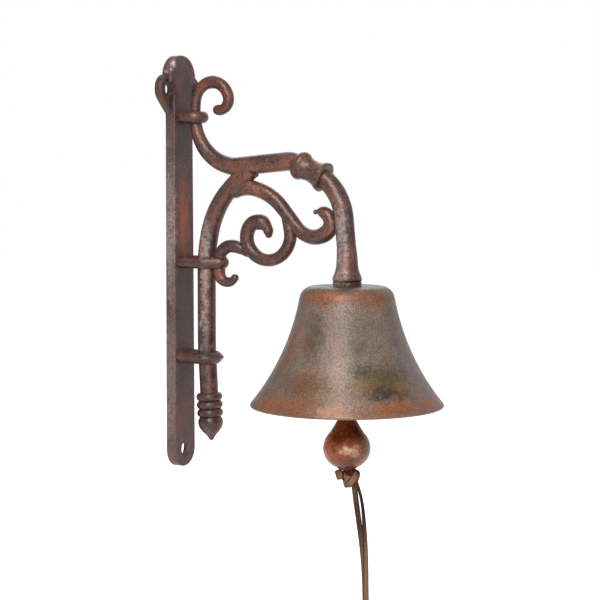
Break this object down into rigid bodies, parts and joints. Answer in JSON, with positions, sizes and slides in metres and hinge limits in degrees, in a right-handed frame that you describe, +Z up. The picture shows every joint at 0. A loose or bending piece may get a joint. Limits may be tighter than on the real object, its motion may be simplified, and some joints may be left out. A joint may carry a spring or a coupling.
{
  "type": "wall mounted bell",
  "caption": "Cast iron bell hung under a scrollwork wall bracket, rung by a ball clapper with a leather pull lace.",
  "frame": {"origin": "on the wall, midway between the two ear screw holes", "axes": "+X out of the wall, +Z up, +Y to the left of someone facing away from the wall"},
  "size_m": [0.187, 0.1198, 0.3945],
  "materials": {
    "cast_iron_plate": "weathered, rough, brown rust",
    "cast_iron_bracket": "weathered, worn satin, brown rust",
    "cast_iron_bell": "sandy as-cast skin with orange rust",
    "cast_iron_ball": "red-brown rust",
    "rusty_steel": "dull, lightly rusted",
    "suede_lace": "matt suede"
  },
  "bodies": {
    "bracket": {"wall_plate": "cast_iron_plate", "scroll_bracket": "cast_iron_bracket", "collar_upper": "cast_iron_bracket", "collar_middle": "cast_iron_bracket", "collar_lower": "cast_iron_bracket", "foot_washer": "cast_iron_bracket", "bell": "cast_iron_bell", "inner_washer": "rusty_steel", "clamp_nut": "rusty_steel", "eye_bolt": "rusty_steel"},
    "clapper": {"clapper_rod": "rusty_steel", "clapper_ball": "cast_iron_ball", "cord_hitch": "suede_lace", "cord_strand_left": "suede_lace", "cord_strand_right": "suede_lace", "cord_end_knot": "suede_lace"}
  },
  "joints": [
    {"name": "clapper_swing", "type": "hinge", "parent": "bracket", "child": "clapper", "pos_m": [0.127, 0, -0.1421], "axis": [0, 1, 0], "range_deg": [-35.2, 35.2]}
  ]
}
